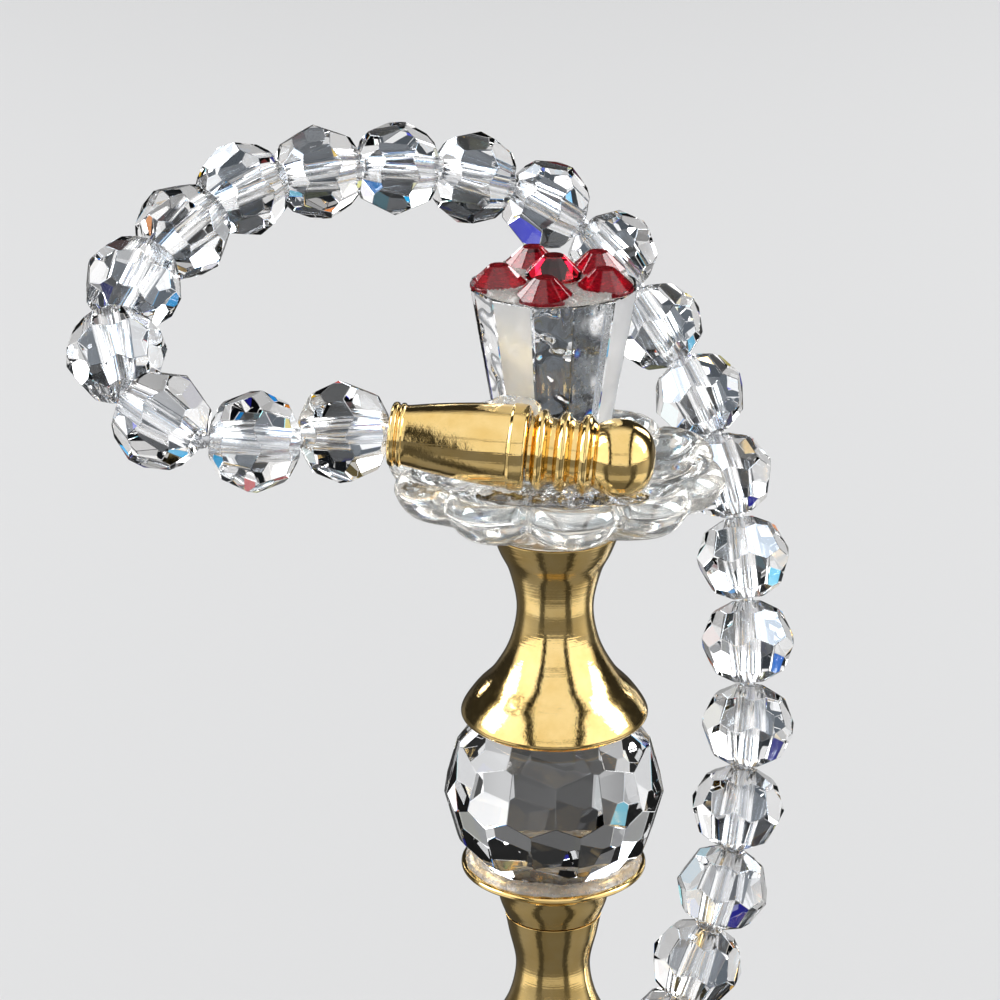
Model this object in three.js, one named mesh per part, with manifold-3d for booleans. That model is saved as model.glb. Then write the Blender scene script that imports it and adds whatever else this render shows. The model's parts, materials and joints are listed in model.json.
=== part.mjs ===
// A miniature crystal and gilt ornament in the form of a water pipe, whose hose is a string of faceted beads
// on a formed wire. Millimetres, +Z up. The origin is the centre of the underside; the stem stands on the
// Z axis, and the mouthpiece lies across the front (-Y) of the flower dish.
import * as THREE from "three";
import { ConvexGeometry } from "three/addons/geometries/ConvexGeometry.js";
import { mergeVertices } from "three/addons/utils/BufferGeometryUtils.js";
import Module from "manifold-3d";

const wasm = await Module();
wasm.setup();

// ---- driving dimensions ----
const JOINT_GAP = 0.05; // left between pieces that are glued or pressed together
const ROUND = 24; // sides of a turned piece
const FINE = 16; // sides of a small one

const PAD_RADIUS = 8.2;
const PAD_THICK = 0.5;
const FOOT_RADIUS = 9.8;
const FOOT_HEIGHT = 5.3;

const VASE_RADIUS = 7.3;
const VASE_SEAT_RADIUS = 4.9;
const VASE_TOP = 6.45; // top flat above the vase's centre
const VASE_BOTTOM = 6.6; // bottom flat below it
const VASE_FACETS = [
  // how many, azimuth of the first, elevation, and depth of the facet inside the radius
  [14, 0, 13, 0.35],
  [14, 180 / 14, -13, 0.35],
  [14, 180 / 14, 40, 0.45],
  [14, 0, -40, 0.45],
  [7, 0, 64, 0.55],
  [7, 180 / 7, -64, 0.55],
  [1, 0, 90, VASE_RADIUS - VASE_TOP],
  [1, 0, -90, VASE_RADIUS - VASE_BOTTOM],
];

const COLLAR_HEIGHT = 4.4; // from the vase's top flat to the bell's rim
const COLLAR_NECK_RADIUS = 2.4;
const SPIGOT_RADIUS = 2.9;
const SPIGOT_LENGTH = 0.9;

const BELL_RIM_RADIUS = 3.72;
const UPPER_BELL_TOP = [2.65, 8.3]; // radius and height
const LOWER_BELL_TOP = [2.06, 7.4];
const SCREW_HOLE_RADIUS = 0.5;
const MODULE_PITCH = 16.5; // from one bell to the next

const BALL_RADIUS = 4.42; // to the middle of its largest facets
const BALL_DROP = 3.3; // ball's centre below the upper bell's rim
const BALL_FACETS = [
  // the same as the vase's
  [14, 0, 15, 0],
  [14, 180 / 14, -15, 0],
  [7, 180 / 14, 43, 0.1],
  [7, 0, -43, 0.1],
  [7, 540 / 14, 48, 0.02],
  [7, 360 / 14, -48, 0.02],
  [7, 180 / 14, 70, 0.04],
  [7, 0, -70, 0.04],
  [1, 0, 90, 0],
  [1, 0, -90, 0],
];
const CUP_RADIUS = 3.91;
const CUP_HEIGHT = 2.58;
const CUP_FLOOR = 0.4;

const DISH_RADIUS = 6.95; // at the tips of the petals
const PETALS = 10;
const PETAL_ROUND = 2.1; // radius of a petal's round end
const PETAL_TURN = 6; // degrees from the front to the nearest petal's middle
const DISH_DEPTH = 3.15;
const DISH_HUB_RADIUS = 2.7;
const DISH_FLOOR = 0.5; // floor below the rim
const DIMPLE_DEPTH = 0.35;

const BOWL_SIDES = 12;
const BOWL_TURN = 14; // degrees from the front to the nearest corner
const BOWL_TOP_RADIUS = 3.42;
const BOWL_BOTTOM_RADIUS = 2.06;
const BOWL_HEIGHT = 7.75;
const BOWL_SHIFT = -0.13; // of its middle from the stem's, along X

const STONE_RADIUS = 1.15;
const STONE_HEIGHT = 0.9;
const STONE_TABLE_RADIUS = 0.38;
const STONE_SIDES = 12;
const STONE_GIRDLE = 0.14; // height of its upright edge
const STONE_RING = 2.26;
const STONE_LIFT = 0.26; // of the middle stone, which sits on the edges of the others
const STONE_ANGLES = { left: 194, back_left: 112, back_right: 38, right: -27, front: -100 };

const BEAD_COUNT = 22;
const BEAD_HALF = 1.77; // half the length
const BEAD_FLAT = 0.58; // apothem of the flat at each end
const BEAD_SIDE = 1.81; // from the centre to a side facet
const BORE_RADIUS = 0.45;
const BEAD_GAP = 0.05; // between the nearest edges of two beads
const BEAD_TWIST = 17; // degrees of turn from one bead to the next
const WIRE_RADIUS = 0.2;

const TIP_LENGTH = 5;
const BARREL_LENGTH = 5.45;
const SOCKET_RADIUS = 0.65; // bore that takes the wire and its crimp
const SOCKET_DEPTH = 2.6;
const PLUG_RADIUS = 0.8; // of the tip's plug in the barrel
const PLUG_LENGTH = 1.3;
const PORT_RADIUS = 0.95;
const CRIMP_LENGTH = 1.1;
const CRIMP_RADIUS = 0.42;

// Route of the hose's wire, from the mouthpiece's end face round the left, behind the bowl and down to the
// port. X, Y and height above the dish's rim.
const HOSE_ROUTE = [
  [-6.6, -3.8, 2.3],
  [-8.5, -3.9, 2.4],
  [-12, -5, 2.4],
  [-15.6, -4.3, 3.1],
  [-17.5, -1.7, 4.9],
  [-17.1, 1.5, 6.8],
  [-15.3, 4.4, 8.2],
  [-13, 7.2, 9.2],
  [-10, 9.3, 9.4],
  [-6.7, 11, 9.1],
  [-3.5, 12.5, 8.3],
  [-0.4, 13.7, 6.8],
  [2.6, 13.9, 4.5],
  [4.6, 12.7, 1.6],
  [6.4, 10.9, -1],
  [7.6, 9.2, -4.1],
  [8.3, 7.7, -7.4],
  [8.5, 6.4, -10.7],
  [8.5, 5.1, -14.2],
  [8.1, 4.2, -17.7],
  [7.5, 3.5, -21.2],
  [6.4, 3.1, -24.7],
  [5.3, 3.1, -28.1],
  [4.7, 3.1, -30],
];
const MOUTHPIECE_SLOPE = [9.4, -0.95, -0.72]; // direction from its hose end to its tip

// ---- heights worked out from those ----
const vaseZ = FOOT_HEIGHT + Math.sqrt(VASE_RADIUS ** 2 - VASE_SEAT_RADIUS ** 2);
const collarZ = vaseZ + VASE_TOP + JOINT_GAP;
const lowerBellZ = collarZ + COLLAR_HEIGHT + JOINT_GAP;
const upperBellZ = lowerBellZ + MODULE_PITCH;
const ballZ = upperBellZ - BALL_DROP;
const cupZ = lowerBellZ + LOWER_BELL_TOP[1] + JOINT_GAP;
const dishRimZ = upperBellZ + UPPER_BELL_TOP[1] + JOINT_GAP + DISH_DEPTH;
const bowlZ = dishRimZ - DISH_FLOOR + JOINT_GAP;

// ---- finishes ----
const gilt = new THREE.MeshStandardMaterial({ color: 0xdeb45f, roughness: 0.15, metalness: 1 });
const crystal = new THREE.MeshStandardMaterial({ color: 0xf2f6fa, roughness: 0.03, metalness: 0 });
const ruby = new THREE.MeshStandardMaterial({ color: 0x9c0f26, roughness: 0.05, metalness: 0 });
const steel = new THREE.MeshStandardMaterial({ color: 0xb9bcc0, roughness: 0.3, metalness: 1 });
const felt = new THREE.MeshStandardMaterial({ color: 0x2c2a2b, roughness: 0.95, metalness: 0 });

// ---- shapes ----
const radians = THREE.MathUtils.degToRad;

function solidOf(geometry) {
  const bare = geometry.index ? geometry.toNonIndexed() : geometry.clone();
  bare.deleteAttribute("normal");
  bare.deleteAttribute("uv");
  const merged = mergeVertices(bare, 1e-5);
  const mesh = new wasm.Mesh({
    numProp: 3,
    vertProperties: merged.attributes.position.array,
    triVerts: new Uint32Array(merged.index.array),
  });
  return new wasm.Manifold(mesh);
}

function geometryOf(solid) {
  const mesh = solid.getMesh();
  const geometry = new THREE.BufferGeometry();
  geometry.setAttribute("position", new THREE.BufferAttribute(mesh.vertProperties, 3));
  geometry.setIndex(new THREE.BufferAttribute(mesh.triVerts, 1));
  return geometry;
}

function cut(geometry, ...tools) {
  let solid = solidOf(geometry);
  for (const tool of tools) solid = solid.subtract(solidOf(tool));
  return geometryOf(solid);
}

// Outline points down the inside of a ball-shaped seat, from radius to radius, for a ball at a given height.
function seat(ballRadius, centre, from, to, count) {
  return Array.from({ length: count + 1 }, (_, k) => {
    const radius = from + ((to - from) * k) / count;
    return [radius, centre - Math.sqrt((ballRadius + JOINT_GAP) ** 2 - radius ** 2)];
  });
}

// A turned solid about Z from [radius, height] points that start and end on the axis, low to high outside.
function turned(points, sides = ROUND) {
  const profile = points.map(([radius, height]) => new THREE.Vector2(radius, height));
  return new THREE.LatheGeometry(profile, sides).rotateX(Math.PI / 2);
}

// Points of a smooth outline through a few of its own.
function smooth(points, count) {
  const curve = new THREE.SplineCurve(points.map(([x, y]) => new THREE.Vector2(x, y)));
  return curve.getPoints(count).map((p) => [p.x, p.y]);
}

function cylinder(radius, from, to, sides = 12) {
  const shape = new THREE.CylinderGeometry(radius, radius, to - from, sides).rotateX(Math.PI / 2);
  return shape.translate(0, 0, (from + to) / 2);
}

// A row of facets round Z: how many, azimuth of the first, elevation, and distance from the centre.
function facetRow(count, first, elevation, distance) {
  const rise = radians(elevation);
  return Array.from({ length: count }, (_, k) => {
    const turn = radians(first + (360 / count) * k);
    const level = Math.cos(rise);
    const normal = new THREE.Vector3(level * Math.cos(turn), level * Math.sin(turn), Math.sin(rise));
    return { normal, distance };
  });
}

// The convex solid inside a set of facet planes: a corner is where three planes meet and no other cuts it off.
function faceted(planes) {
  const corners = new Map();
  const cross = new THREE.Vector3();
  planes.forEach((a, i) => {
    planes.slice(i + 1).forEach((b, j) => {
      const ab = a.normal.clone().cross(b.normal);
      for (const c of planes.slice(i + j + 2)) {
        const volume = ab.dot(c.normal);
        if (Math.abs(volume) < 1e-6) continue;
        const corner = ab.clone().multiplyScalar(c.distance);
        corner.add(cross.crossVectors(b.normal, c.normal).multiplyScalar(a.distance));
        corner.add(cross.crossVectors(c.normal, a.normal).multiplyScalar(b.distance));
        corner.divideScalar(volume);
        if (planes.some((p) => p.normal.dot(corner) > p.distance + 1e-6)) continue;
        corners.set(corner.toArray().map((v) => v.toFixed(4)).join(), corner);
      }
    });
  });
  return new ConvexGeometry([...corners.values()]);
}

function tube(path, radius, steps, sides = 8) {
  const section = new THREE.Shape();
  section.absarc(0, 0, radius, 0, 2 * Math.PI); // a full arc gives two points for each curve segment
  const options = { extrudePath: path, steps, curveSegments: sides / 2, bevelEnabled: false };
  return new THREE.ExtrudeGeometry(section, options);
}

// ---- the object ----
const ornament = new THREE.Group();

function place(parent, name, geometry, material, z = 0) {
  const mesh = new THREE.Mesh(geometry, material);
  mesh.name = name;
  mesh.position.z = z;
  parent.add(mesh);
  return mesh;
}

// Turns a mesh or group so that its Z axis points along a direction.
function aim(object, origin, direction) {
  object.position.copy(origin);
  object.quaternion.setFromUnitVectors(new THREE.Vector3(0, 0, 1), direction);
  return object;
}

// A ball cut with rows of facets, each row at its depth inside the radius.
function cutBall(radius, rows) {
  return faceted(rows.flatMap(([count, first, elevation, depth]) => {
    return facetRow(count, first, elevation, radius - depth);
  }));
}

function addBase() {
  const underside = PAD_THICK + JOINT_GAP;
  const sweep = smooth([[9.2, 1.5], [6.6, 1.9], [4.9, 3], [4.7, 4.1], [5.6, FOOT_HEIGHT]], 8);
  const foot = turned([
    [0, underside],
    [FOOT_RADIUS - 0.2, underside],
    [FOOT_RADIUS, underside + 0.2],
    [FOOT_RADIUS, 1],
    [9.5, 1.25],
    ...sweep,
    ...seat(VASE_RADIUS, vaseZ, VASE_SEAT_RADIUS, 3.2, 3),
    [0, vaseZ - VASE_BOTTOM - JOINT_GAP],
  ], 32);
  place(ornament, "foot", foot, gilt);
  place(ornament, "foot_pad", cylinder(PAD_RADIUS, 0, PAD_THICK, 32), felt);
  place(ornament, "vase", cutBall(VASE_RADIUS, VASE_FACETS), crystal, vaseZ);
}

function addCollar() {
  const collar = turned([
    [0, 0],
    [3.5, 0],
    [4.3, -0.35],
    [4.5, -0.2],
    [4.4, 0.05],
    [3.2, 0.5],
    [COLLAR_NECK_RADIUS, 0.95],
    [COLLAR_NECK_RADIUS, 2.9],
    [2.9, 3.4],
    [3.7, 3.75],
    [3.9, 4.1],
    [3.8, COLLAR_HEIGHT],
    [SPIGOT_RADIUS, COLLAR_HEIGHT],
    [SPIGOT_RADIUS, COLLAR_HEIGHT + SPIGOT_LENGTH],
    [0, COLLAR_HEIGHT + SPIGOT_LENGTH],
  ]);
  place(ornament, "port_collar", collar, gilt, collarZ);
}

// A bell-shaped stem piece; ends are the last points of its outline, and hollows are what is cut from it.
function bellGeometry(ends, ...hollows) {
  const side = smooth([
    [BELL_RIM_RADIUS, 0],
    [3.9, 0.32],
    [3.38, 1.15],
    [2.58, 2.04],
    [1.87, 3.39],
    [1.59, 4.96],
    [1.89, 6.51],
    ...ends,
  ], 13);
  return cut(turned([[0, 0], ...side, [0, ends.at(-1)[1]]]), ...hollows);
}

function addStem() {
  const spigotRoom = cylinder(SPIGOT_RADIUS + JOINT_GAP, -1, SPIGOT_LENGTH + 0.3, ROUND);
  const screwRoom = cylinder(SCREW_HOLE_RADIUS, LOWER_BELL_TOP[1] - 2, LOWER_BELL_TOP[1] + 1);
  place(ornament, "lower_bell", bellGeometry([LOWER_BELL_TOP], spigotRoom, screwRoom), gilt, lowerBellZ);
  const ballRoom = cutBall(BALL_RADIUS + JOINT_GAP, BALL_FACETS);
  const cup = turned([
    [0, 0],
    [LOWER_BELL_TOP[0], 0],
    [2.28, 0.6],
    [2.62, 1.56],
    [3.3, 2.04],
    [CUP_RADIUS, 2.23],
    [CUP_RADIUS, 2.38],
    [3.55, 2.48],
    [3.25, CUP_HEIGHT],
    [0, CUP_HEIGHT],
  ]);
  const throughHole = cylinder(SCREW_HOLE_RADIUS, -1, CUP_HEIGHT + 1);
  const headRoom = cylinder(1, CUP_FLOOR, CUP_HEIGHT + 1);
  const cupGeometry = cut(cup, ballRoom.clone().translate(0, 0, ballZ - cupZ), throughHole, headRoom);
  place(ornament, "ball_cup", cupGeometry, gilt, cupZ);
  const screw = turned([
    [0, -1.9],
    [0.4, -1.8],
    [0.45, CUP_FLOOR + 0.02],
    [0.9, CUP_FLOOR + JOINT_GAP],
    [0.9, 0.75],
    [0.7, 0.85],
    [0, 0.85],
  ], 12);
  place(ornament, "cup_screw", screw, steel, cupZ);
  place(ornament, "crystal_ball", cutBall(BALL_RADIUS, BALL_FACETS), crystal, ballZ);
  const ballInBell = ballRoom.clone().translate(0, 0, ballZ - upperBellZ);
  const upperBell = bellGeometry([[2.3, 7.4], UPPER_BELL_TOP], ballInBell);
  place(ornament, "upper_bell", upperBell, gilt, upperBellZ);
}

// The petal dish is a turned dish whose outer parts are drawn in between the petals, dimpled above and
// scalloped below. Heights are from its rim.
function dishGeometry() {
  const edge = smooth([[DISH_RADIUS - 0.55, -1.6], [DISH_RADIUS, -0.65], [DISH_RADIUS - 0.5, 0]], 5);
  const profile = [
    [0, -DISH_DEPTH],
    [DISH_HUB_RADIUS, -DISH_DEPTH],
    [3, -2.9],
    [3.8, -2.5],
    [5.1, -2.15],
    ...edge,
    [5.8, -0.2],
    [5.2, -0.32],
    [4.6, -0.35],
    [3.9, -0.32],
    [2.9, -DISH_FLOOR],
    [0, -DISH_FLOOR],
  ];
  const geometry = turned(profile, PETALS * 6).rotateZ(radians(PETAL_TURN));
  const position = geometry.getAttribute("position");
  const petalCentre = DISH_RADIUS - PETAL_ROUND;
  for (let i = 0; i < position.count; i++) {
    const [x, y, z] = [position.getX(i), position.getY(i), position.getZ(i)];
    const radius = Math.hypot(x, y);
    const pitch = (2 * Math.PI) / PETALS;
    const turn = Math.atan2(y, x) + Math.PI / 2 - radians(PETAL_TURN);
    const offset = turn - pitch * Math.round(turn / pitch); // from the petal's middle
    const aside = petalCentre * Math.sin(offset);
    const reach = petalCentre * Math.cos(offset) + Math.sqrt(PETAL_ROUND ** 2 - aside ** 2);
    const outward = THREE.MathUtils.smoothstep(radius, 2.8, 5.9);
    const scale = 1 + (reach / DISH_RADIUS - 1) * outward;
    const side = Math.abs(offset) / (pitch / 2); // 0 in the middle of a petal, 1 between two
    const isTop = z > -DISH_FLOOR - 0.05;
    const dimple = Math.max(0, 1 - ((radius - 4.7) / 1.1) ** 2 - (side / 0.75) ** 2);
    const lift = isTop ? -DIMPLE_DEPTH * dimple : 0.45 * side ** 2 * outward * (z < -0.9 ? 1 : 0);
    position.setXYZ(i, x * scale, y * scale, z + lift);
  }
  return geometry;
}

function addBowl() {
  place(ornament, "dish", dishGeometry(), crystal, dishRimZ);
  const corner = BOWL_TURN - 90;
  const shape = new THREE.CylinderGeometry(BOWL_TOP_RADIUS, BOWL_BOTTOM_RADIUS, BOWL_HEIGHT, BOWL_SIDES);
  shape.rotateX(Math.PI / 2).rotateZ(radians(corner) + Math.PI / 2).translate(0, 0, BOWL_HEIGHT / 2);
  place(ornament, "bowl", shape, crystal, bowlZ).position.x = BOWL_SHIFT;
}

// A flat-backed stone: an upright girdle, a row of crown facets that rises to a small table, and a flat back.
function stoneGeometry() {
  const inward = STONE_RADIUS - STONE_TABLE_RADIUS;
  const rise = STONE_HEIGHT - STONE_GIRDLE;
  const elevation = Math.atan2(inward, rise); // of the crown facets' normals
  const distance = STONE_RADIUS * Math.cos(elevation) + STONE_GIRDLE * Math.sin(elevation);
  return faceted([
    ...facetRow(STONE_SIDES, 0, 0, STONE_RADIUS),
    ...facetRow(STONE_SIDES, 180 / STONE_SIDES, 0, STONE_RADIUS),
    ...facetRow(STONE_SIDES, 0, THREE.MathUtils.radToDeg(elevation), distance),
    ...facetRow(1, 0, 90, STONE_HEIGHT),
    ...facetRow(1, 0, -90, 0),
  ]);
}

function addStones() {
  const stone = stoneGeometry();
  const z = bowlZ + BOWL_HEIGHT + JOINT_GAP;
  place(ornament, "stone_centre", stone, ruby, z + STONE_LIFT).position.x = BOWL_SHIFT;
  for (const [side, angle] of Object.entries(STONE_ANGLES)) {
    const mesh = place(ornament, `stone_${side}`, stone, ruby, z);
    mesh.position.x = BOWL_SHIFT + STONE_RING * Math.cos(radians(angle));
    mesh.position.y = STONE_RING * Math.sin(radians(angle));
    mesh.rotation.z = radians(angle);
  }
}

// Bead centres and axes along the route: each bead touches the one before it at the inside of the bend.
function strungBeads(route) {
  const beads = [];
  let along = BEAD_HALF + BEAD_GAP;
  const length = route.getLength();
  const step = 0.005;
  while (beads.length < BEAD_COUNT) {
    const centre = route.getPointAt(Math.min(1, along / length));
    const axis = route.getTangentAt(Math.min(1, along / length));
    const last = beads.at(-1);
    const half = last ? last.axis.angleTo(axis) / 2 : 0;
    const needed = 2 * (BEAD_HALF * Math.cos(half) + BEAD_FLAT * Math.sin(half)) + BEAD_GAP;
    if (!last || centre.distanceTo(last.centre) >= needed) beads.push({ centre, axis });
    along += step;
  }
  return beads;
}

function beadGeometry() {
  const polar = BEAD_FLAT * Math.cos(radians(62)) + BEAD_HALF * Math.sin(radians(62));
  const shape = faceted([
    ...facetRow(8, 0, 22, BEAD_SIDE),
    ...facetRow(8, 22.5, -22, BEAD_SIDE),
    ...facetRow(8, 22.5, 62, polar),
    ...facetRow(8, 0, -62, polar),
    ...facetRow(1, 0, 90, BEAD_HALF),
    ...facetRow(1, 0, -90, BEAD_HALF),
  ]);
  return cut(shape, cylinder(BORE_RADIUS, -2, 2, 10));
}

function addMouthpiece(end, direction) {
  const mouthpiece = aim(new THREE.Group(), end, direction);
  ornament.add(mouthpiece);
  const barrel = turned([
    [0, 0],
    [1.18, 0],
    [1.27, 0.12],
    [1.27, 0.26],
    [1.2, 0.32],
    [1.25, 0.4],
    [1.25, 0.55],
    ...smooth([[1.2, 0.6], [1.41, 1.9], [1.6, 3.5], [1.66, 4.72]], 5),
    [1.72, 4.82],
    [1.72, BARREL_LENGTH - 0.12],
    [1.6, BARREL_LENGTH],
    [0, BARREL_LENGTH],
  ], FINE);
  const socket = cylinder(SOCKET_RADIUS, -1, SOCKET_DEPTH);
  const plugFloor = BARREL_LENGTH - PLUG_LENGTH - 0.2;
  const plugHole = cylinder(PLUG_RADIUS + JOINT_GAP, plugFloor, BARREL_LENGTH + 1, FINE);
  place(mouthpiece, "mouthpiece_barrel", cut(barrel, socket, plugHole), gilt);
  const ridges = [0.5, 1.38, 2.26].flatMap((z) => [[1.6, z - 0.12], [1.6, z + 0.12], [1.3, z + 0.42]]);
  const dome = smooth([[1.36, 2.82], [1.54, 3.4], [1.48, 4.08], [1.05, 4.7], [0.55, 4.95]], 7);
  const tip = turned([
    [0, -PLUG_LENGTH],
    [PLUG_RADIUS, -PLUG_LENGTH],
    [PLUG_RADIUS, 0],
    [1.3, 0],
    ...ridges,
    ...dome,
    [0, TIP_LENGTH],
  ], FINE);
  place(mouthpiece, "mouthpiece_tip", tip, gilt, BARREL_LENGTH + JOINT_GAP);
  const crimp = place(mouthpiece, "wire_crimp_mouthpiece", crimpGeometry(), gilt);
  crimp.position.z = SOCKET_DEPTH - CRIMP_LENGTH - 0.3;
}

function crimpGeometry() {
  const sleeve = cylinder(CRIMP_RADIUS, 0, CRIMP_LENGTH);
  return cut(sleeve, cylinder(WIRE_RADIUS + 0.04, -1, CRIMP_LENGTH + 1));
}

// The elbow that the hose ends in: it leaves the collar's neck level and turns up to the last bead.
function addPort(mouth, outward) {
  const level = collarZ + 1.75;
  const away = new THREE.Vector3(mouth.x, mouth.y, 0).normalize();
  const root = away.clone().multiplyScalar(COLLAR_NECK_RADIUS - 0.5).setZ(level);
  const knee = away.clone().multiplyScalar(COLLAR_NECK_RADIUS + 1.5).setZ(level);
  const rise = mouth.clone().addScaledVector(outward, -1.4);
  const inFerrule = mouth.clone().addScaledVector(outward, -0.2);
  const bend = new THREE.CubicBezierCurve3(root, knee, rise, inFerrule);
  const turn = new THREE.Quaternion().setFromUnitVectors(new THREE.Vector3(0, 0, 1), outward);
  const atMouth = (geometry) => geometry.applyQuaternion(turn).translate(...mouth.toArray());
  const ferrule = atMouth(cylinder(PORT_RADIUS + 0.2, -0.75, 0, FINE));
  const bore = atMouth(cylinder(SOCKET_RADIUS, -1.6, 1));
  const neckRoom = cylinder(COLLAR_NECK_RADIUS + JOINT_GAP, 0, 2 * level, ROUND);
  const elbow = geometryOf(solidOf(tube(bend, PORT_RADIUS, 10, 12)).add(solidOf(ferrule)));
  place(ornament, "hose_port", cut(elbow, bore, neckRoom), gilt);
  const crimp = place(ornament, "wire_crimp_port", crimpGeometry(), gilt);
  aim(crimp, mouth.clone().addScaledVector(outward, -1.4), outward);
}

function addHose() {
  const points = HOSE_ROUTE.map(([x, y, z]) => new THREE.Vector3(x, y, z + dishRimZ));
  const route = new THREE.CatmullRomCurve3(points, false, "centripetal");
  const beads = strungBeads(route);
  const geometry = beadGeometry();
  const wirePoints = [];
  beads.forEach(({ centre, axis }, i) => {
    const mesh = place(ornament, `bead_${String(i + 1).padStart(2, "0")}`, geometry, crystal);
    aim(mesh, centre, axis).rotateZ(radians(BEAD_TWIST * i));
    wirePoints.push(centre.clone().addScaledVector(axis, -BEAD_HALF));
    wirePoints.push(centre.clone().addScaledVector(axis, BEAD_HALF));
  });
  const direction = new THREE.Vector3(...MOUTHPIECE_SLOPE).normalize();
  addMouthpiece(points[0], direction);
  const last = beads.at(-1);
  const outward = last.axis.clone().negate();
  const mouth = last.centre.clone().addScaledVector(last.axis, BEAD_HALF + BEAD_GAP);
  addPort(mouth, outward);
  wirePoints.unshift(points[0].clone().addScaledVector(direction, SOCKET_DEPTH - 0.2));
  wirePoints.push(mouth.clone().addScaledVector(last.axis, 1.5));
  const path = new THREE.CurvePath();
  wirePoints.slice(1).forEach((to, i) => path.add(new THREE.LineCurve3(wirePoints[i], to)));
  place(ornament, "hose_wire", tube(path, WIRE_RADIUS, 80), steel);
}

addBase();
addCollar();
addStem();
addBowl();
addStones();
addHose();

export default ornament;
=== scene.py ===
# The looks of a miniature crystal and gilt water pipe whose hose is a string of faceted beads.
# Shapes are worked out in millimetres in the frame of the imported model, and turned to metres as each
# piece is made.
from collections import namedtuple
import json
import math
import bmesh
import bpy
from mathutils import Matrix, Vector, noise


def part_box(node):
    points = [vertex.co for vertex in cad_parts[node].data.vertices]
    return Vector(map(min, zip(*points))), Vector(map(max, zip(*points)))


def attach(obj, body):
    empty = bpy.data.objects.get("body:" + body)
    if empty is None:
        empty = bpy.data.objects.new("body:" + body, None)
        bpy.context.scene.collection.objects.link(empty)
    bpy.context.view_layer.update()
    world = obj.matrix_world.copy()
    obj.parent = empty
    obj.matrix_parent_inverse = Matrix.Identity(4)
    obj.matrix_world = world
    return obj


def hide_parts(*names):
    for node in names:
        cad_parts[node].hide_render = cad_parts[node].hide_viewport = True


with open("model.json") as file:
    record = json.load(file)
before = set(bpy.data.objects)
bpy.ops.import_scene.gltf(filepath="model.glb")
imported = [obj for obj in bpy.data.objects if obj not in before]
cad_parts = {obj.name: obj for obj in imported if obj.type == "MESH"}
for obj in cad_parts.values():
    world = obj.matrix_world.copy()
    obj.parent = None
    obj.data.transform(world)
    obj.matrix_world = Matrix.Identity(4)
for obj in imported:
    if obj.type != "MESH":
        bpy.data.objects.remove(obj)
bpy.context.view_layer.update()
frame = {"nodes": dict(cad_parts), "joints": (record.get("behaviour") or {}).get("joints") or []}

# ---- sizes, in millimetres ----
MM = 0.001
UP = Vector((0, 0, 1))
TINY = 1e-6
GAP = 0.05  # between pieces that are glued or pressed together
CORNER = 0.04  # how far the corners of most turned pieces are rounded
TURNED_SIDES = 144
BORE_SIDES = 48
FACET_EDGE = 0.018  # width of the polished edge between two facets
BEAD_HALF = 1.77
BORE_RADIUS = 0.45
WIRE_RADIUS = 0.2
SOCKET_RADIUS = 0.65  # of the holes that take the ends of the wire
SOCKET_DEPTH = 2.6  # in the mouthpiece
CRIMP_DEPTH = 1.4  # how far the crimps start from the mouthpiece's socket's floor and from the port's mouth
BARREL_LENGTH = 5.45
COLLAR_LIP = 0.35  # how far the collar's edge reaches down round the vase
PORT_LEVEL = 1.75  # from the collar's seat on the vase up to the port
STONE_RADIUS = 1.15
PETALS = 10
PETAL_TIP = 6.95  # from the dish's axis
PETAL_ROUND = 2.1  # radius of a petal's rounded end
PETAL_TURN = 6  # degrees from the front to the nearest petal's middle

# ---- least angles of a sharp edge, in degrees ----
METAL = 30
FACETED = 8  # cut crystal
ROUNDED = 60  # pressed crystal and glue


def box_mm(node):
    return [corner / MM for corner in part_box(node)]


def points_mm(node):
    """The distinct vertices of a CAD node."""
    found = {}
    for vertex in frame["nodes"][node].data.vertices:
        point = vertex.co / MM
        found[tuple(round(c, 2) for c in point)] = point
    return list(found.values())


def middle(node):
    points = points_mm(node)
    return sum(points, Vector()) / len(points)


rim_height = box_mm("dish")[1].z


# ---- node tools ----
def principled(name, **settings):
    """A new material's node tree and its shader, with constants on the shader's own sockets."""
    made = bpy.data.materials.new(name)
    made.use_nodes = True
    tree = made.node_tree
    shader = tree.nodes["Principled BSDF"]
    for key, value in settings.items():
        shader.inputs[key.replace("_", " ")].default_value = value
    return made, tree, shader


def noise_value(tree, scale, detail=3.0, roughness=0.55, stretch=(1, 1, 1), turn=(0, 0, 0)):
    """A cloudy number between about 0.3 and 0.7, which depends on the place on the object. scale is how
    many patches there are to a millimetre, once the place is turned and stretched."""
    place = tree.nodes.new("ShaderNodeTexCoord")
    mapping = tree.nodes.new("ShaderNodeMapping")
    mapping.vector_type = "POINT"
    mapping.inputs["Rotation"].default_value = turn
    mapping.inputs["Scale"].default_value = [s / MM for s in stretch]
    tree.links.new(place.outputs["Object"], mapping.inputs["Vector"])
    texture = tree.nodes.new("ShaderNodeTexNoise")
    texture.inputs["Scale"].default_value = scale
    texture.inputs["Detail"].default_value = detail
    texture.inputs["Roughness"].default_value = roughness
    tree.links.new(mapping.outputs["Vector"], texture.inputs["Vector"])
    return texture.outputs["Fac"]


def ranged(tree, value, source, result):
    """The value carried from one range to another, and held at the ends; a range is two numbers."""
    node = tree.nodes.new("ShaderNodeMapRange")
    for ends, side in ((source, "From"), (result, "To")):
        node.inputs[f"{side} Min"].default_value = ends[0]
        node.inputs[f"{side} Max"].default_value = ends[1]
    tree.links.new(value, node.inputs["Value"])
    return node.outputs["Result"]


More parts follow.
